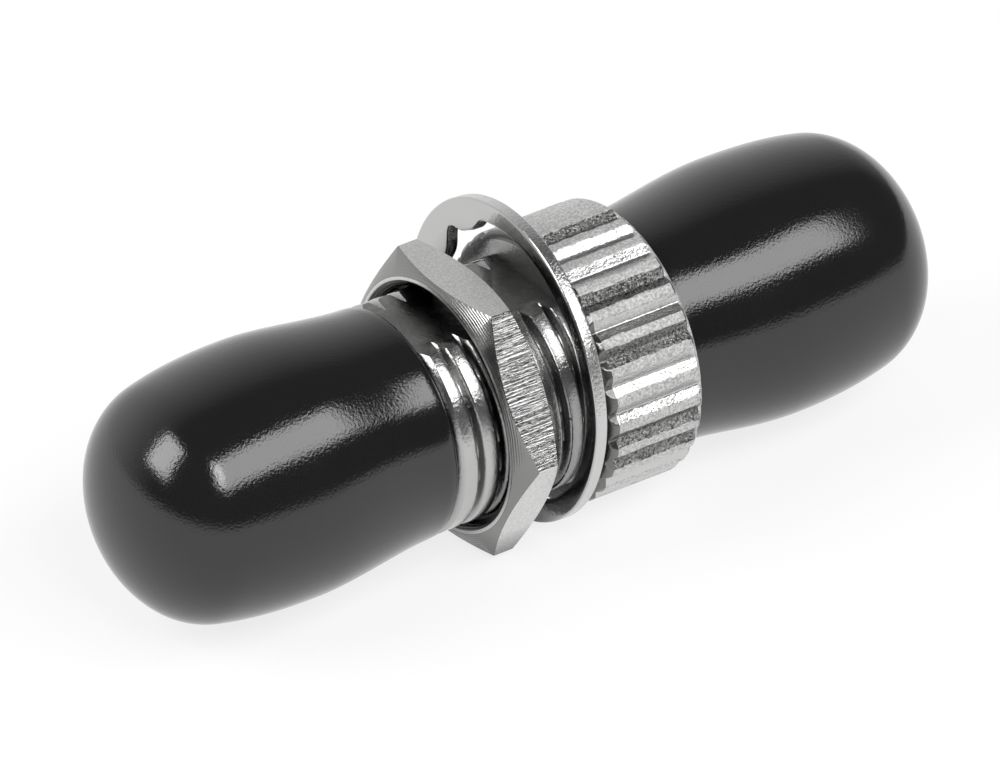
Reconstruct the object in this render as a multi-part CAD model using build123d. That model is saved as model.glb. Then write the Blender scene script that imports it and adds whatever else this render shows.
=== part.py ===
"""Bulkhead adapter that joins two bayonet fibre connectors end to end.

The common axis is X, with -X towards the threaded front end and +Z up.
The origin is on the axis, in the flange face that seats on the panel.
All sizes are in millimetres.
"""
import os
from build123d import *

# Threaded barrel, flange and knurl
barrel_r = 4.75
barrel_length = 6.5
barrel_chamfer = 0.22
flat_depth = 0.6
flange_step = 0.95
flange_width = 4.5
flange_edge = 0.4
knurl_count = 30
knurl_left_out = (28, 29)
knurl_depth = 0.25
knurl_cutter_r = 0.38
knurl_runout = 0.3

# Bayonet noses, one at each end
nose_r = 3.95
nose_length = 10.5
nose_edge = 0.2
socket_r = 3.05
lug_r = 0.95
lug_height = 0.55
lug_from_tip = 4.5
keyway_width = 1.2
keyway_length = 4.2

# Pressed joint between the body and the rear receptacle
rim_wall = 0.9
spigot_length = 3.1
press_gap = 0.01

# Alignment sleeve and its two-part holder
ferrule_r = 1.25
sleeve_wall = 0.35
sleeve_length = 11.4
sleeve_slit = 0.5
sleeve_play = 0.1
sleeve_end_play = 0.2
holder_wall = 0.5
holder_proud = 1.2
holder_play = 0.05
collar_height = 0.75
collar_length = 5.2
lip_length = 0.4
lip_play = 0.2
countersink = 0.25

# Hex nut
nut_wall = 0.71
nut_thickness = 2.0
nut_from_flange = 2.5
nut_thread_play = 0.1
nut_countersink = 0.3
nut_flat_edge = 0.21
nut_chamfer_depth = 0.54

# Panel washer
washer_overhang = 0.24
washer_hole_play = 1.03
washer_thickness = 0.55
washer_edge = 0.08
washer_from_flange = 0.7
washer_drop_play = 0.16
washer_lean_deg = 1.9
washer_turn_deg = -1.2

# Push-on dust caps
cap_wall = 0.75
cap_grip_play = 0.1
cap_lug_play = 0.11
cap_root_play = 0.27
cap_root_lead = 0.35
cap_root_slope = 0.23
cap_dome_side = 0.64
cap_dome_tip = 0.47
cap_tip_play = 2.05
cap_lip = 0.3
cap_seat_gap = 0.05

# Radii that follow from the sizes above
flat_height = barrel_r - flat_depth
flange_r = barrel_r + flange_step
spigot_r = flange_r - knurl_depth - rim_wall
lug_top_r = nose_r + lug_height
sleeve_r = ferrule_r + sleeve_wall
lip_hole_r = ferrule_r + lip_play
holder_bore_r = sleeve_r + sleeve_play
holder_r = holder_bore_r + holder_wall
web_bore_r = holder_r + holder_play
collar_r = holder_r + collar_height
collar_bore_r = collar_r + holder_play
nut_bore_r = barrel_r + nut_thread_play
nut_flat_r = nut_bore_r + nut_wall
nut_corner_r = nut_flat_r * 2 / 3 ** 0.5
nut_chamfer_r = nut_flat_r - nut_flat_edge
washer_r = nut_corner_r + washer_overhang
washer_hole_r = barrel_r + washer_hole_play
cap_mouth_r = nose_r + cap_grip_play + cap_wall
cap_lug_r = lug_top_r + cap_lug_play + cap_wall
cap_root_r = nose_r + cap_root_play + cap_wall

# Places along the axis that several pieces share
flange_rear = flange_width
barrel_front = -barrel_length
front_tip = barrel_front - nose_length
rear_tip = flange_rear + nose_length
centre_x = (front_tip + rear_tip) / 2
spigot_face = flange_rear - spigot_length
collar_front = spigot_face - collar_length
holder_reach = sleeve_length / 2 + sleeve_end_play + lip_length
holder_front = centre_x - holder_reach
holder_rear = centre_x + holder_reach
front_floor = holder_front + holder_proud
rear_floor = holder_rear - holder_proud

# Places along a dust cap, measured from its mouth
nose_in_cap = nose_length - cap_seat_gap
cap_lug_place = nose_in_cap - lug_from_tip
cap_root_place = nose_in_cap - cap_root_lead
cap_length = nose_in_cap + cap_tip_play + cap_wall


def turned(*points):
    """Solid of revolution about X from (x, radius) points."""
    outline = make_face(Polyline(*points, close=True))
    return revolve(outline, Axis.X)


def rod(x0, x1, radius):
    """Cylinder along X between two places."""
    return turned((x0, 0), (x1, 0), (x1, radius), (x0, radius))


def rims(solid, x, radius):
    """Circular edges of a solid that lie at one place and radius."""
    found = solid.edges().filter_by(GeomType.CIRCLE)
    return [e for e in found if abs(e.arc_center.X - x) < 1e-3 and abs(e.radius - radius) < 1e-3]


def with_nose(carrier, tip, root, floor):
    """Carrier with a nose from root to tip: two lugs, a blind socket and a keyway."""
    out = 1 if tip > root else -1
    nose = rod(root, tip, nose_r)
    nose = chamfer(rims(nose, tip, nose_r), nose_edge)
    lug_x = tip - out * lug_from_tip
    lug_foot = (socket_r + nose_r) / 2
    lug_bar = lug_top_r - lug_foot
    for side in (-1, 1):
        place = Plane((lug_x, side * (lug_foot + lug_bar / 2), 0), z_dir=(0, side, 0))
        lug = place * Cylinder(lug_r, lug_bar) & rod(lug_x - 2 * lug_r, lug_x + 2 * lug_r, lug_top_r)
        nose = nose + lug
    body = carrier + nose - rod(floor, tip, socket_r)
    body = chamfer(rims(body, tip, socket_r), nose_edge)
    key = Box(keyway_length, keyway_width, nose_r)
    return body - Pos(tip - out * keyway_length / 2, 0, nose_r) * key


def knurl(flange):
    """Rounded grooves along the flange's rim, with a plain land where some are left out."""
    centre_r = flange_r - knurl_depth + knurl_cutter_r
    groove = rod(-knurl_runout, flange_width + knurl_runout, knurl_cutter_r)
    cuts = []
    for number in range(knurl_count):
        if number in knurl_left_out:
            continue
        cuts.append(Rot(number * 360 / knurl_count, 0, 0) * Pos(0, 0, centre_r) * groove)
    return flange - cuts


def main_body():
    """Die-cast body: front nose, barrel with a flat, and the knurled flange."""
    flange = rod(0, flange_rear, flange_r)
    flange = fillet(rims(flange, 0, flange_r) + rims(flange, flange_rear, flange_r), flange_edge)
    flange = knurl(flange)
    barrel = rod(barrel_front, 0, barrel_r)
    barrel = chamfer(rims(barrel, barrel_front, barrel_r), barrel_chamfer)
    flat_cut = 2 * barrel_r
    flat = Pos(barrel_front / 2, 0, flat_height + flat_cut / 2) * Box(barrel_length, flat_cut, flat_cut)
    body = with_nose(flange + (barrel - flat), front_tip, barrel_front, front_floor)
    body = body - rod(front_floor, collar_front, web_bore_r)
    body = body - rod(collar_front, spigot_face, collar_bore_r)
    return body - rod(spigot_face, flange_rear, spigot_r + press_gap)


def rear_receptacle():
    """Rear nose with the spigot that is pressed into the flange."""
    spigot = rod(spigot_face, flange_rear, spigot_r)
    receptacle = with_nose(spigot, rear_tip, flange_rear, rear_floor)
    return receptacle - rod(spigot_face, rear_floor, web_bore_r)


def holder_half(tip, butt, collar_end):
    """Half of the sleeve holder: tube with an inner lip at its tip and a collar at the butt."""
    out = 1 if tip > butt else -1
    half = rod(butt, tip, holder_r) + rod(butt, collar_end, collar_r)
    lip = tip - out * lip_length
    half = half - rod(butt, lip, holder_bore_r) - rod(lip, tip, lip_hole_r)
    return chamfer(rims(half, tip, lip_hole_r), countersink)


def alignment_sleeve():
    """Split sleeve that lines up the two ferrules."""
    x0 = centre_x - sleeve_length / 2
    sleeve = rod(x0, x0 + sleeve_length, sleeve_r) - rod(x0, x0 + sleeve_length, ferrule_r)
    slit = Pos(centre_x, 0, sleeve_r) * Box(sleeve_length, sleeve_slit, sleeve_r)
    return sleeve - slit


def hex_nut():
    """Thin nut with both faces chamfered and its bore countersunk."""
    x1 = -nut_from_flange
    x0 = x1 - nut_thickness
    outline = Plane((x0, 0, 0), x_dir=(0, 1, 0), z_dir=(1, 0, 0))
    # Two corners point along Y, so a flat faces straight up and another straight down
    nut = extrude(outline * RegularPolygon(nut_corner_r, 6), nut_thickness)
    cone = turned(
        (x0, 0),
        (x1, 0),
        (x1, nut_chamfer_r),
        (x1 - nut_chamfer_depth, nut_corner_r),
        (x0 + nut_chamfer_depth, nut_corner_r),
        (x0, nut_chamfer_r),
    )
    nut = (nut & cone) - rod(x0, x1, nut_bore_r)
    return chamfer(rims(nut, x0, nut_bore_r) + rims(nut, x1, nut_bore_r), nut_countersink)


def washer():
    """Flat washer, loose on the barrel, that stands on the surface below and leans a little."""
    ring = rod(-washer_thickness, 0, washer_r) - rod(-washer_thickness, 0, washer_hole_r)
    ring = chamfer(rims(ring, -washer_thickness, washer_r) + rims(ring, 0, washer_r), washer_edge)
    lift = washer_hole_r - barrel_r - washer_drop_play
    return Pos(-washer_from_flange, 0, lift) * Rot(0, washer_lean_deg, washer_turn_deg) * ring


def cap_form(inset):
    """Form of a cap's skin set in by a distance: mouth at 0, widest over the lugs, dome along +X."""
    mouth = (0, cap_mouth_r - inset)
    lug = (cap_lug_place, cap_lug_r - inset)
    root = (cap_root_place, cap_root_r - inset)
    apex = (cap_length - inset, 0)
    third = lug[0] / 3
    flare = Bezier(mouth, (third, mouth[1]), (lug[0] - third, lug[1]), lug)
    third = (root[0] - lug[0]) / 3
    above_root = root[1] + cap_root_slope * third
    shoulder = Bezier(lug, (lug[0] + third, lug[1]), (root[0] - third, above_root), root)
    reach = cap_dome_side * (apex[0] - root[0])
    below_root = root[1] - cap_root_slope * reach
    dome = Bezier(root, (root[0] + reach, below_root), (apex[0], cap_dome_tip * root[1]), apex)
    axis = Line(apex, (0, 0))
    opening = Line((0, 0), mouth)
    return revolve(make_face([flare, shoulder, dome, axis, opening]), Axis.X)


def dust_cap(mouth, out):
    """Dip-moulded cap with its mouth at one place, pointing along out."""
    outer = cap_form(0)
    outer = fillet(rims(outer, 0, cap_mouth_r), cap_lip)
    cap = outer - cap_form(cap_wall)
    turn = 0 if out > 0 else 180
    return Pos(mouth, 0, 0) * Rot(0, 0, turn) * cap


parts = {
    "main_body": main_body(),
    "rear_receptacle": rear_receptacle(),
    "sleeve_holder_front": holder_half(holder_front, centre_x, collar_front),
    "sleeve_holder_rear": holder_half(holder_rear, centre_x, spigot_face),
    "alignment_sleeve": alignment_sleeve(),
    "hex_nut": hex_nut(),
    "washer": washer(),
    "front_dust_cap": dust_cap(barrel_front - cap_seat_gap, -1),
    "rear_dust_cap": dust_cap(flange_rear + cap_seat_gap, 1),
}

os.makedirs("parts", exist_ok=True)
for name, solid in parts.items():
    export_step(solid, f"parts/{name}.step")
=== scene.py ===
import math

import bmesh
import bpy
from mathutils import Matrix, Quaternion, Vector, noise


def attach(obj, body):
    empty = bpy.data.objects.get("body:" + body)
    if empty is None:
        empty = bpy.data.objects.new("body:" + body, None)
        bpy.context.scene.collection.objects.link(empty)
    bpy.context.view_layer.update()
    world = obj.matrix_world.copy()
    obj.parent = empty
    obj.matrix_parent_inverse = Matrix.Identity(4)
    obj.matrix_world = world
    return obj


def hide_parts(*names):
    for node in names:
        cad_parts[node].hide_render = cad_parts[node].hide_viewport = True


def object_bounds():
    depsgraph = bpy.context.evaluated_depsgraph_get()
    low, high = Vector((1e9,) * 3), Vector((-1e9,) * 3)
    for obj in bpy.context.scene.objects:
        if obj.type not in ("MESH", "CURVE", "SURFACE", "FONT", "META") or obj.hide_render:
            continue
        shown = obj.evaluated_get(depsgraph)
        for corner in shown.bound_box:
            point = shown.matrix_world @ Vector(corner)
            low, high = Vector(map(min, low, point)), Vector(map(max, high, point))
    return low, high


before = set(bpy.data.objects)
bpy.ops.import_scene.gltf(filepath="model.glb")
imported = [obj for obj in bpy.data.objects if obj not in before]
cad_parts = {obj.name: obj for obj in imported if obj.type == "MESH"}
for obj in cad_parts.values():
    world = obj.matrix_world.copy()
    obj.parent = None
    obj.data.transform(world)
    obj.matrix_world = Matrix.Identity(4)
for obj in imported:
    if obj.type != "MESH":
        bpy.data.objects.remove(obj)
cad_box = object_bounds()
scene = bpy.context.scene
scene.view_settings.view_transform = "Standard"
mm = 0.001

# Camera
# A long lens looks down on the adapter from the front, with the threaded end on the left.
# It stands far off, so the picture has hardly any perspective.
view_azimuth = math.radians(-34.5)
view_elevation = math.radians(32.7)
camera_distance = 1150 * mm
camera_roll = math.radians(-0.6)
picture_width = 39.25 * mm
picture_centre = (-1.122 * mm, -0.602 * mm)
film_width = 36

towards_camera = Vector((
    math.sin(view_azimuth) * math.cos(view_elevation),
    -math.cos(view_azimuth) * math.cos(view_elevation),
    math.sin(view_elevation),
))
picture_right = Vector((math.cos(view_azimuth), math.sin(view_azimuth), 0))
picture_up = towards_camera.cross(picture_right)
aim = picture_right * picture_centre[0] + picture_up * picture_centre[1]
level = (-towards_camera).to_track_quat("-Z", "Y")
camera = bpy.data.objects.new("camera", bpy.data.cameras.new("camera"))
scene.collection.objects.link(camera)
camera.data.sensor_width = film_width
camera.data.lens = film_width * camera_distance / picture_width
camera.data.clip_start = 0.1
camera.data.clip_end = 20
camera.location = aim + towards_camera * camera_distance
camera.rotation_euler = (level @ Quaternion((0, 0, 1), camera_roll)).to_euler()
scene.camera = camera

# Main body
# A zinc casting with a nickel plate: front nose, threaded barrel with a flat, and knurled flange.
# The thread and the knurl are cast in, so their edges are soft, the skin has a fine grain and
# some grooves are pitted.
barrel_r = 4.75
barrel_length = 6.5
barrel_front = -barrel_length
barrel_chamfer = 0.22
barrel_sunk = 0.2
flat_depth = 0.6
flat_height = barrel_r - flat_depth

thread_pitch = 1.0
thread_depth = 0.31
thread_crown = 0.035
thread_half_groove = 0.24
thread_groove_place = -4.56
thread_groove_turn = 50
thread_start = 0.3
thread_lead_in = 0.35
thread_runout = 0.5
thread_step = 0.05

flange_step = 0.95
flange_r = barrel_r + flange_step
flange_width = 4.5
flange_edge = 0.4

knurl_count = 30
knurl_left_out = (28, 29)
knurl_pitted = (0, 3, 5, 8, 9, 12, 13, 16, 18, 21, 24, 26)
knurl_depth = 0.29
knurl_half_width = 0.44
knurl_root = 0.1
knurl_softness = 0.03
knurl_cutter_r = 0.38
knurl_wander = 0.14
knurl_wander_length = 0.5
groove_edge_r = 5.665
groove_root_play = 0.05
groove_end = 0.2

socket_r = 3.05
socket_floor = -6.1
web_bore_r = 2.25
collar_front = -3.8
collar_bore_r = 3.0
spigot_face = 1.4
spigot_bore_r = 4.56

weld = 1e-7
cut_tolerance = 1e-8
square_on = 0.98


def about_axis(x, radius, turn):
    """Point at a place along the axis, a radius and a turn in degrees from the top to the front."""
    a = math.radians(turn)
    return Vector((x, -radius * math.sin(a), radius * math.cos(a))) * mm


def ring(x, radius, columns):
    """One loop of points round the axis. The radius may be a function of the place and the turn."""
    turns = [360 * i / columns for i in range(columns)]
    return [about_axis(x, radius(x, t) if callable(radius) else radius, t) for t in turns]


def rounding(x, radius, size, first, last, steps):
    """Profile points of an arc about a centre, between two angles counted from +X outwards."""
    angles = [math.radians(first + (last - first) * i / steps) for i in range(steps + 1)]
    return [(x + size * math.cos(a), radius + size * math.sin(a)) for a in angles]


def skin(rings):
    """Welded faces between neighbouring rings, where a ring of one point closes an end."""
    bm = bmesh.new()
    loops = [[bm.verts.new(p) for p in points] for points in rings]
    for a, b in zip(loops, loops[1:]):
        count = max(len(a), len(b))
        for i in range(count):
            j = (i + 1) % count
            corners = [a[i % len(a)], a[j % len(a)], b[j % len(b)], b[i % len(b)]]
            bm.faces.new(list(dict.fromkeys(corners)))
    bmesh.ops.remove_doubles(bm, verts=bm.verts, dist=weld)
    return bm


def cut_away(bm, point, outwards):
    """Remove what lies beyond a plane through a point."""
    bmesh.ops.bisect_plane(
        bm,
        geom=bm.verts[:] + bm.edges[:] + bm.faces[:],
        dist=cut_tolerance,
        plane_co=point,
        plane_no=outwards,
        clear_outer=True,
    )


def smooth_piece(name, bm, crease):
    """Object from a bmesh, smooth but for edges sharper than the crease angle."""
    bmesh.ops.recalc_face_normals(bm, faces=bm.faces)
    mesh = bpy.data.meshes.new(name)
    bm.to_mesh(mesh)
    bm.free()
    mesh.shade_smooth()
    mesh.set_sharp_from_angle(angle=math.radians(crease))
    piece = bpy.data.objects.new(name, mesh)
    scene.collection.objects.link(piece)
    return piece


def thread_radius(x, turn):
    """Radius of the threaded barrel, with broad rounded crests and a right-handed groove."""
    groove = thread_groove_place + thread_pitch * (turn - thread_groove_turn) / 360
    off = (x - groove + thread_pitch / 2) % thread_pitch - thread_pitch / 2
    cut = thread_crown * math.cos(math.pi * off / thread_pitch) ** 2
    if abs(off) < thread_half_groove:
        cut += thread_depth * (1 + math.cos(math.pi * off / thread_half_groove)) / 2
    lead_in = min(max((x - barrel_front - thread_start) / thread_lead_in, 0), 1)
    runout = min(max(-x / thread_runout, 0), 1)
    return barrel_r - cut * lead_in * runout


def nearest_groove(turn):
    """Place of the nearest knurl groove, counted round the flange from the top."""
    return round(turn * knurl_count / 360)


def knurl_radius(x, turn):
    """Radius of the flange's rim, with straight-sided, slightly wandering grooves between ribs."""
    number = nearest_groove(turn) % knurl_count
    if number in knurl_left_out:
        return flange_r
    off = math.radians(turn) - nearest_groove(turn) * 2 * math.pi / knurl_count
    centre_r = flange_r - knurl_depth + knurl_cutter_r
    side = centre_r * math.sin(off)
    # Each side of each groove wanders in its own way
    own_place = Vector((x / knurl_wander_length, number * 3.7, 0.5 if side < 0 else 4.5))
    wander = knurl_wander * noise.noise(own_place)
    share = math.hypot(side * (1 + wander) / knurl_half_width, knurl_root)
    return flange_r - knurl_depth * max(1 - share, 0)


def softened(a, b, softness):
    """The smaller of two radii, with the corner between them rounded."""
    blend = max(softness - abs(a - b), 0) / softness
    return min(a, b) - blend ** 2 * softness / 4


def threaded_barrel():
    """Closed shell of the barrel, cut off flat along its top."""
    columns = 300
    run = barrel_length - barrel_chamfer
    count = round(run / thread_step)
    front = [(barrel_front, socket_r), (barrel_front, barrel_r - barrel_chamfer)]
    thread = [(run * i / count - run, thread_radius) for i in range(count + 1)]
    inside = [
        (barrel_sunk, barrel_r),
        (barrel_sunk, collar_bore_r),
        (collar_front, collar_bore_r),
        (collar_front, web_bore_r),
        (socket_floor, web_bore_r),
        (socket_floor, socket_r),
        (barrel_front, socket_r),
    ]
    bm = skin([ring(x, radius, columns) for x, radius in front + thread + inside])
    cut_away(bm, Vector((0, 0, flat_height * mm)), (0, 0, 1))
    rim = [e for e in bm.edges if e.is_boundary]
    bmesh.ops.holes_fill(bm, edges=rim, sides=0)
    return smooth_piece("threaded_barrel", bm, crease=38)


def knurled_flange():
    """Closed shell of the flange, with its edges rounded over."""
    columns = 900
    side_steps = 24
    edge = rounding(flange_edge, flange_r - flange_edge, flange_edge, 180, 90, 8)[:-1]
    side_length = flange_width - 2 * flange_edge
    side = [(flange_edge + side_length * i / side_steps, flange_r) for i in range(side_steps + 1)]
    far_edge = [(flange_width - x, radius) for x, radius in reversed(edge)]
    rings = [ring(0, collar_bore_r, columns)]
    for x, edge_r in edge + side + far_edge:
        rings.append(ring(
            x,
            lambda x, turn: softened(edge_r, knurl_radius(x, turn), knurl_softness),
            columns,
        ))
    for x, radius in (
        (flange_width, spigot_bore_r),
        (spigot_face, spigot_bore_r),
        (spigot_face, collar_bore_r),
        (0, collar_bore_r),
    ):
        rings.append(ring(x, radius, columns))
    return smooth_piece("knurled_flange", skin(rings), crease=40)


def front_nose():
    """The nose as the solid has it, from its tip to just short of the barrel."""
    gap = 0.002
    bm = bmesh.new()
    bm.from_mesh(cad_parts["main_body"].data)
    bmesh.ops.remove_doubles(bm, verts=bm.verts, dist=weld)
    cut_away(bm, Vector(((barrel_front - gap) * mm, 0, 0)), (1, 0, 0))
    return smooth_piece("front_nose", bm, crease=30)


def new_finish(name):
    """Material with its nodes, links and shader."""
    finish = bpy.data.materials.new(name)
    finish.use_nodes = True
    nodes = finish.node_tree.nodes
    return finish, nodes, finish.node_tree.links, nodes["Principled BSDF"]


def spread(nodes, low, high, to_low, to_high):
    """Node that spreads the numbers between two limits over two others."""
    node = nodes.new("ShaderNodeMapRange")
    node.inputs["From Min"].default_value = low
    node.inputs["From Max"].default_value = high
    node.inputs["To Min"].default_value = to_low
    node.inputs["To Max"].default_value = to_high
    return node


def speckle(nodes, scale, detail):
    """Noise node of a scale and an amount of detail."""
    node = nodes.new("ShaderNodeTexNoise")
    node.inputs["Scale"].default_value = scale
    node.inputs["Detail"].default_value = detail
    return node


def raise_marks(nodes, links, marks, shader, relief):
    """Let the marks of a texture node stand out by the relief, in millimetres."""
    bump = nodes.new("ShaderNodeBump")
    bump.inputs["Distance"].default_value = relief * mm
    links.new(marks.outputs["Fac"], bump.inputs["Height"])
    links.new(bump.outputs["Normal"], shader.inputs["Normal"])


def lathe_rings(nodes, spacing):
    """Wave node with the slightly uneven rings that a lathe leaves, a spacing apart."""
    # The bands of a wave node are 0.314 of a unit apart at a scale of 1
    node = nodes.new("ShaderNodeTexWave")
    node.wave_type = "RINGS"
    node.rings_direction = "X"
    node.inputs["Scale"].default_value = 0.314 / spacing
    node.inputs["Detail"].default_value = 4
    node.inputs["Distortion"].default_value = 2.5
    node.inputs["Detail Scale"].default_value = 0.6
    return node


def plated(name, colour, polish, grain, relief, run=(1, 1, 1), reach=1.2, shaded_share=0.12, fleck=0,
           rings=False):
    """Metal: polish is its range of roughness, grain the size of its marks and relief their height.
    Run is how closely the marks are set along each axis. In crevices and gaps between parts
    narrower than the reach the colour is darkened to a share of itself, which is painted shade.
    Fleck is how much the marks darken it, and rings are a lathe's marks."""
    finish, nodes, links, shader = new_finish(name)
    shader.inputs["Metallic"].default_value = 1
    place = nodes.new("ShaderNodeTexCoord")
    squeeze = nodes.new("ShaderNodeMapping")
    squeeze.inputs["Scale"].default_value = run
    links.new(place.outputs["Object"], squeeze.inputs["Vector"])
    if rings:
        marks = lathe_rings(nodes, grain * mm)
    else:
        marks = speckle(nodes, 1 / (grain * mm), 4)
        marks.inputs["Roughness"].default_value = 0.6
    links.new(squeeze.outputs["Vector"], marks.inputs["Vector"])
    raise_marks(nodes, links, marks, shader, relief)

    # Wear comes in patches eight times as large as the marks
    wear = speckle(nodes, 1 / (8 * grain * mm), 3)
    worn = spread(nodes, 0.3, 0.7, *polish)
    links.new(place.outputs["Object"], wear.inputs["Vector"])
    links.new(wear.outputs["Fac"], worn.inputs["Value"])
    links.new(worn.outputs["Result"], shader.inputs["Roughness"])

    # Painted shade: ambient occlusion darkens the colour in crevices and between neighbouring parts
    crevice = nodes.new("ShaderNodeAmbientOcclusion")
    crevice.samples = 12
    crevice.inputs["Distance"].default_value = reach * mm
    open_share = spread(nodes, 0.1, 0.85, shaded_share, 1)
    flecks = spread(nodes, 0.35, 0.65, 1 - fleck, 1 + fleck / 2)
    shade = nodes.new("ShaderNodeMath")
    shade.operation = "MULTIPLY"
    tint = nodes.new("ShaderNodeVectorMath")
    tint.operation = "SCALE"
    tint.inputs[0].default_value = colour
    links.new(crevice.outputs["AO"], open_share.inputs["Value"])
    links.new(marks.outputs["Fac"], flecks.inputs["Value"])
    links.new(open_share.outputs["Result"], shade.inputs[0])
    links.new(flecks.outputs["Result"], shade.inputs[1])
    links.new(shade.outputs[0], tint.inputs["Scale"])
    links.new(tint.outputs["Vector"], shader.inputs["Base Color"])
    return finish


def off_axis(face):
    """Distance of a face's middle from the axis, in millimetres."""
    return math.hypot(face.center.y, face.center.z) / mm


def dress(piece, finishes, choose):
    """Give a piece its finishes, and each of its faces the one that a function chooses."""
    for finish in finishes:
        piece.data.materials.append(finish)
    for face in piece.data.polygons:
        face.material_index = finishes.index(choose(face))


def barrel_finish(face):
    """Darker copy of the plate on the flat, painted shade, and the thread's plate on the rest of
    the barrel.
    """
    near_flat = 0.05
    at_height = face.center.z > (flat_height - near_flat) * mm
    return shaded_plate if at_height and face.normal.z > square_on else thread_plate


def flange_finish(face):
    """Smooth front face in an edge darkened with painted shade, bright or pitted grooves,
    and grained ribs.
    """
    x = face.center.x / mm
    if x < flange_edge:
        return thread_plate if face.normal.x < -square_on else shaded_plate
    groove_root_r = flange_r - knurl_depth - groove_root_play
    in_groove = groove_root_r < off_axis(face) < groove_edge_r
    if in_groove and x < flange_width - groove_end:
        turn = math.degrees(math.atan2(-face.center.y, face.center.z))
        pitted = nearest_groove(turn) % knurl_count in knurl_pitted
        return pitted_plate if pitted else groove_plate
    return cast_plate


cast_plate = plated(
    "cast_plate", (0.7, 0.7, 0.695), polish=(0.6, 0.75), grain=0.1, relief=0.05, fleck=0.35,
)
groove_plate = plated(
    "groove_plate", (0.6, 0.6, 0.595), polish=(0.1, 0.22), grain=0.12, relief=0.03,
    reach=0.6, shaded_share=0.08,
)
pitted_plate = plated(
    "pitted_plate", (0.32, 0.32, 0.315), polish=(0.15, 0.35), grain=0.1, relief=0.07,
    reach=0.6, shaded_share=0.06, fleck=0.9,
)
thread_plate = plated(
    "thread_plate", (0.5, 0.5, 0.495), polish=(0.14, 0.3), grain=0.14, relief=0.014,
    reach=2.4, shaded_share=0.06,
)
# A dark copy of the plate: painted shade on the barrel's flat and the flange's rounded front edge
shaded_plate = plated(
    "shaded_plate", (0.2, 0.2, 0.195), polish=(0.15, 0.4), grain=0.2, relief=0.02,
    reach=2.4, shaded_share=0.06,
)

barrel = threaded_barrel()
flange = knurled_flange()
nose = front_nose()
dress(barrel, (thread_plate, shaded_plate), barrel_finish)
dress(flange, (cast_plate, groove_plate, thread_plate, pitted_plate, shaded_plate), flange_finish)
nose.data.materials.append(thread_plate)
for piece in (barrel, flange, nose):
    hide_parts("main_body")
    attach(piece, "adapter")

# Alignment sleeve
# A split tube of white zirconia, ground inside and out, that lines up the two ferrules.
# It floats between the two halves of its holder.


def finish_solid(node, finish):
    """Give a solid of the frame one finish."""
    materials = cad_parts[node].data.materials
    materials.clear()
    materials.append(finish)


zirconia, nodes, links, shader = new_finish("zirconia")
shader.inputs["Base Color"].default_value = (0.86, 0.85, 0.8, 1)
shader.inputs["Roughness"].default_value = 0.16
grinding = speckle(nodes, 9000, 2)
raise_marks(nodes, links, grinding, shader, 0.002)
finish_solid("alignment_sleeve", zirconia)

# Sleeve holder
# Two turned brass halves that butt at the middle and trap the sleeve between their lips.
# Their collars are held in the body by the rear receptacle.
turned_brass = plated(
    "turned_brass", (0.72, 0.56, 0.29), polish=(0.18, 0.3), grain=0.1, relief=0.004,
    run=(9, 1, 1),
)
finish_solid("sleeve_holder_front", turned_brass)
finish_solid("sleeve_holder_rear", turned_brass)

# Rear receptacle
# The second nose with its lugs and keyway, cast in zinc and plated like the body.
# Its spigot is pressed into the flange, where it also holds the sleeve holder's collars.
finish_solid("rear_receptacle", thread_plate)

# Washer
# A stamped steel washer with a bright plate. It hangs loose on the barrel, stands on the
# surface below and leans a little, and its face is not quite flat.
washer_r = 6.66
washer_hole_play = 1.03
washer_hole_r = barrel_r + washer_hole_play
washer_thickness = 0.55
washer_edge = 0.1
washer_from_flange = 0.7
washer_lift = 0.87
washer_lean = 1.9
washer_turn = -1.2
washer_wave = 0.03
washer_wave_length = 2.6
# Turn, half width and height of each ragged lip in the stamped hole
hole_lips = ((-62, 15, 0.9), (-30, 10.5, 0.5))


def hole_lip(turn):
    """How far the stamped hole's ragged edge stands inwards at a turn."""
    off = (turn + 180) % 360 - 180
    return sum(height * math.exp(-((off - at) / width) ** 4) for at, width, height in hole_lips)


def ragged(radius):
    """Radius on the washer as a function of the turn. The lips fade out towards its rim."""
    rim_r = washer_r - washer_edge
    share = max((rim_r - radius) / (rim_r - washer_hole_r), 0)
    return lambda x, turn: radius - share * hole_lip(turn)


def washer_ring():
    """Closed shell of the washer with rolled edges and a slight wave in its faces."""
    columns = 240
    face_steps = 6
    front, rear = -washer_thickness + washer_edge, -washer_edge
    rim, hole = washer_r - washer_edge, washer_hole_r + washer_edge
    profile = (
        rounding(front, rim, washer_edge, 180, 90, 5)
        + rounding(rear, rim, washer_edge, 90, 0, 5)
        + rounding(rear, hole, washer_edge, 0, -90, 5)
        + rounding(front, hole, washer_edge, -90, -180, 5)
    )
    for i in range(1, face_steps):
        profile.append((-washer_thickness, hole + (rim - hole) * i / face_steps))
    bm = skin([ring(x, ragged(radius), columns) for x, radius in profile + profile[:1]])
    for v in bm.verts:
        v.co.x += washer_wave * mm * noise.noise(v.co / (washer_wave_length * mm))
    place = Matrix.Translation(Vector((-washer_from_flange, 0, washer_lift)) * mm)
    lean = Matrix.Rotation(math.radians(washer_lean), 4, "Y")
    turn = Matrix.Rotation(math.radians(washer_turn), 4, "Z")
    bm.transform(place @ lean @ turn)
    return smooth_piece("panel_washer", bm, crease=50)


def washer_finish(face):
    """Rougher stamped edge along the rim and the top of the hole, bright plate elsewhere."""
    edge_on = 0.6
    on_edge = abs(face.normal.x) < edge_on and off_axis(face) > washer_hole_r
    return groove_plate if on_edge else bright_plate


bright_plate = plated(
    "bright_plate", (0.5, 0.5, 0.495), polish=(0.08, 0.2), grain=0.25, relief=0.01,
    reach=2.0, shaded_share=0.05,
)
panel_washer = washer_ring()
dress(panel_washer, (bright_plate, groove_plate), washer_finish)
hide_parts("washer")
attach(panel_washer, "loose_washer")

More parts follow.
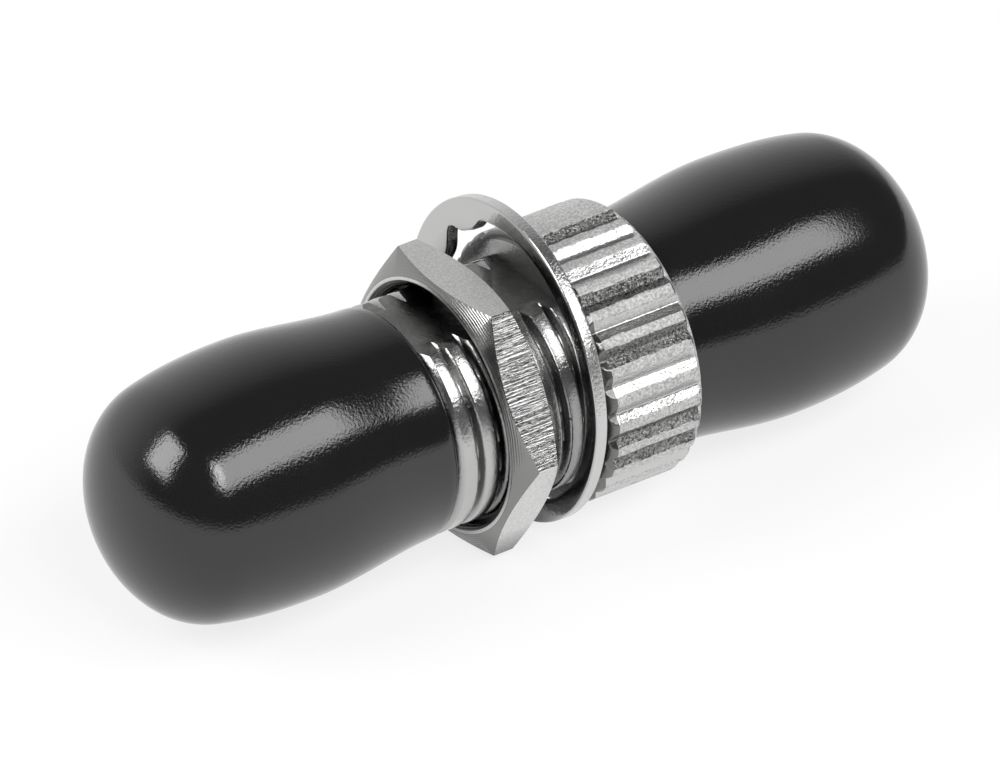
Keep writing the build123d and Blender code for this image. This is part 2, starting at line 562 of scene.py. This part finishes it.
# Hex nut
# A thin brass nut, nickel plated, turned on its faces and milled on its flats.
# The cutter left streaks along the flats and rings on the chamfers.
nut_from_flange = 2.5
nut_thickness = 2.0
nut_rear = -nut_from_flange
nut_front = nut_rear - nut_thickness
nut_thread_play = 0.1
nut_bore_r = barrel_r + nut_thread_play
nut_wall = 0.71
nut_flat_r = nut_bore_r + nut_wall
nut_corner_r = nut_flat_r * 2 / 3 ** 0.5
nut_corner_blunting = 0.02
nut_countersink = 0.3
nut_flat_edge = 0.21
nut_chamfer_r = nut_flat_r - nut_flat_edge
nut_chamfer_depth = 0.54
nut_soft_edge = 0.035


def hexagon(turn):
    """Radius of the nut's outline at a turn from the middle of its top flat."""
    off = (turn + 30) % 60 - 30
    return min(nut_flat_r / math.cos(math.radians(off)), nut_corner_r - nut_corner_blunting)


def nut_shell():
    """Closed shell of the nut with a narrow rounding along every edge."""
    flat_steps = 24
    corner_turn = 0.25
    turns = []
    for corner in range(30, 390, 60):
        turns += [corner - corner_turn, corner + corner_turn]
        turns += [corner + 60 * i / flat_steps for i in range(1, flat_steps)]
    turns.sort()
    soft = nut_soft_edge
    countersink_r = nut_bore_r + nut_countersink

    def loop(x, radius):
        return [about_axis(x, radius, t) for t in turns]

    def outline(face, into, back, inset):
        """Loop that follows the hexagon's scalloped edge, back from a face and set in."""
        points = []
        for t in turns:
            share = (hexagon(t) - nut_chamfer_r) / (nut_corner_r - nut_chamfer_r)
            x = face + into * (nut_chamfer_depth * share + back)
            points.append(about_axis(x, hexagon(t) - inset, t))
        return points

    def half(face, into):
        """Loops from the bore out to the hexagon, over one face of the nut."""
        return [
            loop(face + into * nut_countersink, nut_bore_r),
            loop(face + into * soft, countersink_r - soft),
            loop(face, countersink_r + soft),
            loop(face, nut_chamfer_r - soft),
            loop(face + into * soft * 0.8, nut_chamfer_r + soft),
            outline(face, into, -soft * 0.3, soft * 1.3),
            outline(face, into, soft, 0),
        ]

    front = half(nut_front, 1)
    rear = half(nut_rear, -1)[::-1]
    return smooth_piece("threaded_nut", skin(front + rear + front[:1]), crease=24)


def nut_finish(face):
    """Rings on the chamfers, streaks on slanting sides that face up, smooth elsewhere."""
    edge_on = 0.5
    slanting = (0.2, 0.9)
    if edge_on < abs(face.normal.x) < square_on:
        return turned_face
    streaked = abs(face.normal.x) < edge_on and slanting[0] < face.normal.z < slanting[1]
    return milled_plate if streaked else smooth_flat


milled_plate = plated(
    "milled_plate", (0.44, 0.44, 0.435), polish=(0.07, 0.14), grain=0.09, relief=0.034,
    run=(0.05, 1, 1), fleck=0.2,
)
smooth_flat = plated(
    "smooth_flat", (0.7, 0.7, 0.695), polish=(0.3, 0.38), grain=0.09, relief=0.012,
    reach=2.2, shaded_share=0.08, fleck=0.2,
)
turned_face = plated(
    "turned_face", (0.26, 0.26, 0.255), polish=(0.14, 0.26), grain=0.1, relief=0.006,
    reach=2.2, shaded_share=0.08, rings=True,
)
threaded_nut = nut_shell()
dress(threaded_nut, (milled_plate, smooth_flat, turned_face), nut_finish)
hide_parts("hex_nut")
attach(threaded_nut, "nut")

# Dust caps
# Black vinyl, dip-moulded on a round-ended pin, so the dome is round, the wall is even and the
# mouth is a soft rolled edge. They grip the noses and stretch over the lugs.
nose_r = 3.95
nose_length = 10.5
lug_height = 0.55
lug_from_tip = 4.5
cap_wall = 0.75
cap_seat_gap = 0.05
cap_grip_play = 0.1
cap_lug_play = 0.11
cap_root_play = 0.27
cap_root_lead = 0.35
cap_root_slope = 0.23
cap_dome_side = 0.64
cap_dome_tip = 0.47
cap_tip_play = 2.05
cap_lip = 0.3
cap_inner_edge = 0.12
cap_unevenness = 0.03
cap_swell_length = 4.5
cap_even_mouth = 2
cap_even_tip = 3

nose_in_cap = nose_length - cap_seat_gap
cap_length = nose_in_cap + cap_tip_play + cap_wall
cap_mouth_r = nose_r + cap_grip_play + cap_wall
cap_lug_place = nose_in_cap - lug_from_tip
cap_lug_r = nose_r + lug_height + cap_lug_play + cap_wall
cap_root_place = nose_in_cap - cap_root_lead
cap_root_r = nose_r + cap_root_play + cap_wall


def bent_line(corners, count):
    """Points along the smooth line that four corners pull into shape, without its last point."""
    (x0, r0), (x1, r1), (x2, r2), (x3, r3) = corners
    points = []
    for i in range(count):
        t = i / count
        s = 1 - t
        w = (s ** 3, 3 * s * s * t, 3 * s * t * t, t ** 3)
        points.append((
            w[0] * x0 + w[1] * x1 + w[2] * x2 + w[3] * x3,
            w[0] * r0 + w[1] * r1 + w[2] * r2 + w[3] * r3,
        ))
    return points


def cap_skin(inset):
    """Profile of a cap's skin from lip to tip, as distances from the mouth and radii."""
    mouth_r, lug_r, root_r = cap_mouth_r - inset, cap_lug_r - inset, cap_root_r - inset
    tip = cap_length - inset
    third = cap_lug_place / 3
    flare = (
        (0, mouth_r),
        (third, mouth_r),
        (cap_lug_place - third, lug_r),
        (cap_lug_place, lug_r),
    )
    third = (cap_root_place - cap_lug_place) / 3
    shoulder = (
        (cap_lug_place, lug_r),
        (cap_lug_place + third, lug_r),
        (cap_root_place - third, root_r + cap_root_slope * third),
        (cap_root_place, root_r),
    )
    reach = cap_dome_side * (tip - cap_root_place)
    dome = (
        (cap_root_place, root_r),
        (cap_root_place + reach, root_r - cap_root_slope * reach),
        (tip, cap_dome_tip * root_r),
        (tip, 0),
    )
    profile = bent_line(flare, 24) + bent_line(shoulder, 14) + bent_line(dome, 40) + [(tip, 0)]
    return [point for point in profile if point[0] > cap_lip]


def dust_cap(name, mouth, out):
    """Closed shell of a cap whose mouth is at a place and whose dome points along out."""
    columns = 144
    inner_r = cap_mouth_r - cap_wall
    edge = cap_inner_edge
    lip = rounding(cap_lip, cap_mouth_r - cap_lip, cap_lip, 90, 180, 7)[1:]
    lip += [(0, inner_r + edge), (edge / 4, inner_r + edge / 3), (edge, inner_r)]
    rings = []
    for from_mouth, radius in cap_skin(0)[::-1] + lip + cap_skin(cap_wall):
        x = mouth + out * from_mouth
        rings.append(ring(x, radius, columns) if radius > 0 else [about_axis(x, 0, 0)])
    bm = skin(rings)
    for v in bm.verts:
        radial = Vector((0, v.co.y, v.co.z))
        if radial.length > weld:
            near_mouth = min(abs(v.co.x / mm - mouth) / cap_even_mouth, 1)
            near_tip = min(radial.length / (cap_even_tip * mm), 1)
            swell = noise.noise(v.co / (cap_swell_length * mm)) * cap_unevenness * mm
            v.co += radial.normalized() * swell * near_mouth * near_tip
    return smooth_piece(name, bm, crease=60)


def vinyl_finish():
    """Black vinyl with a soft gloss and the faint orange peel of a dipped skin."""
    vinyl, nodes, links, shader = new_finish("black_vinyl")
    shader.inputs["Base Color"].default_value = (0.007, 0.007, 0.007, 1)
    shader.inputs["IOR"].default_value = 1.62
    place = nodes.new("ShaderNodeTexCoord")
    haze = speckle(nodes, 350, 5)
    gloss = spread(nodes, 0.3, 0.7, 0.07, 0.15)
    peel = speckle(nodes, 9000, 3)
    links.new(place.outputs["Object"], haze.inputs["Vector"])
    links.new(place.outputs["Object"], peel.inputs["Vector"])
    links.new(haze.outputs["Fac"], gloss.inputs["Value"])
    links.new(gloss.outputs["Result"], shader.inputs["Roughness"])
    raise_marks(nodes, links, peel, shader, 0.008)
    return vinyl


black_vinyl = vinyl_finish()
for name, node, body, mouth, out in (
    ("front_vinyl_cap", "front_dust_cap", "front_cap", barrel_front - cap_seat_gap, -1),
    ("rear_vinyl_cap", "rear_dust_cap", "rear_cap", flange_width + cap_seat_gap, 1),
):
    cap = dust_cap(name, mouth, out)
    cap.data.materials.append(black_vinyl)
    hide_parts(node)
    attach(cap, body)

# Floor
# A plain white sheet under the adapter, which stands on the washer's rim. The camera and
# the reflections see it nearly white, and it keeps a soft shadow.
floor_half = 1200 * mm
floor_z = cad_box[0].z
floor_lift = 0.8
pure_white = (1, 1, 1, 1)

floor_corners = [
    (-floor_half, -floor_half, floor_z),
    (floor_half, -floor_half, floor_z),
    (floor_half, floor_half, floor_z),
    (-floor_half, floor_half, floor_z),
]
floor_mesh = bpy.data.meshes.new("floor")
floor_mesh.from_pydata(floor_corners, [], [(0, 1, 2, 3)])
floor = bpy.data.objects.new("floor", floor_mesh)
scene.collection.objects.link(floor)

sheet, nodes, links, shader = new_finish("white_sheet")
nodes.remove(shader)
paper = nodes.new("ShaderNodeBsdfDiffuse")
paper.inputs["Color"].default_value = pure_white
white = nodes.new("ShaderNodeEmission")
white.inputs["Color"].default_value = pure_white
white.inputs["Strength"].default_value = 1
path = nodes.new("ShaderNodeLightPath")
seen_direct = nodes.new("ShaderNodeMath")
seen_direct.operation = "MAXIMUM"
seen = nodes.new("ShaderNodeMath")
seen.operation = "MAXIMUM"
lifted = nodes.new("ShaderNodeMath")
lifted.operation = "MULTIPLY"
lifted.inputs[1].default_value = floor_lift
mix = nodes.new("ShaderNodeMixShader")
links.new(path.outputs["Is Camera Ray"], seen_direct.inputs[0])
links.new(path.outputs["Is Glossy Ray"], seen_direct.inputs[1])
links.new(seen_direct.outputs[0], seen.inputs[0])
links.new(path.outputs["Is Transmission Ray"], seen.inputs[1])
links.new(seen.outputs[0], lifted.inputs[0])
links.new(lifted.outputs[0], mix.inputs["Fac"])
links.new(paper.outputs[0], mix.inputs[1])
links.new(white.outputs[0], mix.inputs[2])
links.new(mix.outputs[0], nodes["Material Output"].inputs["Surface"])
floor_mesh.materials.append(sheet)

# Light
# A long softbox high on the front right with a bright spot at its left end, a smaller one on
# the left, and a room that is pale behind the adapter and dark overhead and in front.


def softbox(name, direction, distance, width, height, radiance):
    """Soft lamp that faces the adapter from a direction. Its sizes are in metres."""
    lamp = bpy.data.lights.new(name, "AREA")
    lamp.shape = "RECTANGLE"
    lamp.size = width
    lamp.size_y = height
    lamp.energy = radiance * math.pi * width * height
    box = bpy.data.objects.new(name, lamp)
    scene.collection.objects.link(box)
    away = Vector(direction).normalized()
    box.location = away * distance
    box.rotation_mode = "QUATERNION"
    box.rotation_quaternion = (-away).to_track_quat("-Z", "Y")


softbox("front_softbox", (0.21, -0.65, 0.745), distance=0.5, width=0.54, height=0.23, radiance=4.9)
softbox("front_glare", (-0.26, -0.665, 0.725), distance=0.48, width=0.09, height=0.2, radiance=5.5)
softbox("left_softbox", (-0.77, 0.19, 0.61), distance=0.5, width=0.21, height=0.31, radiance=6.4)

room_dark = 0.12
room_pale = 0.95
pale_from = 0.25
pale_full = 0.9

room = bpy.data.worlds.new("room")
room.use_nodes = True
scene.world = room
nodes, links = room.node_tree.nodes, room.node_tree.links
direction = nodes.new("ShaderNodeTexCoord")
split = nodes.new("ShaderNodeSeparateXYZ")
wall = spread(nodes, pale_from, pale_full, room_dark, room_pale)
links.new(direction.outputs["Generated"], split.inputs["Vector"])
links.new(split.outputs["Y"], wall.inputs["Value"])
links.new(wall.outputs["Result"], nodes["Background"].inputs["Color"])
nodes["Background"].inputs["Strength"].default_value = 1
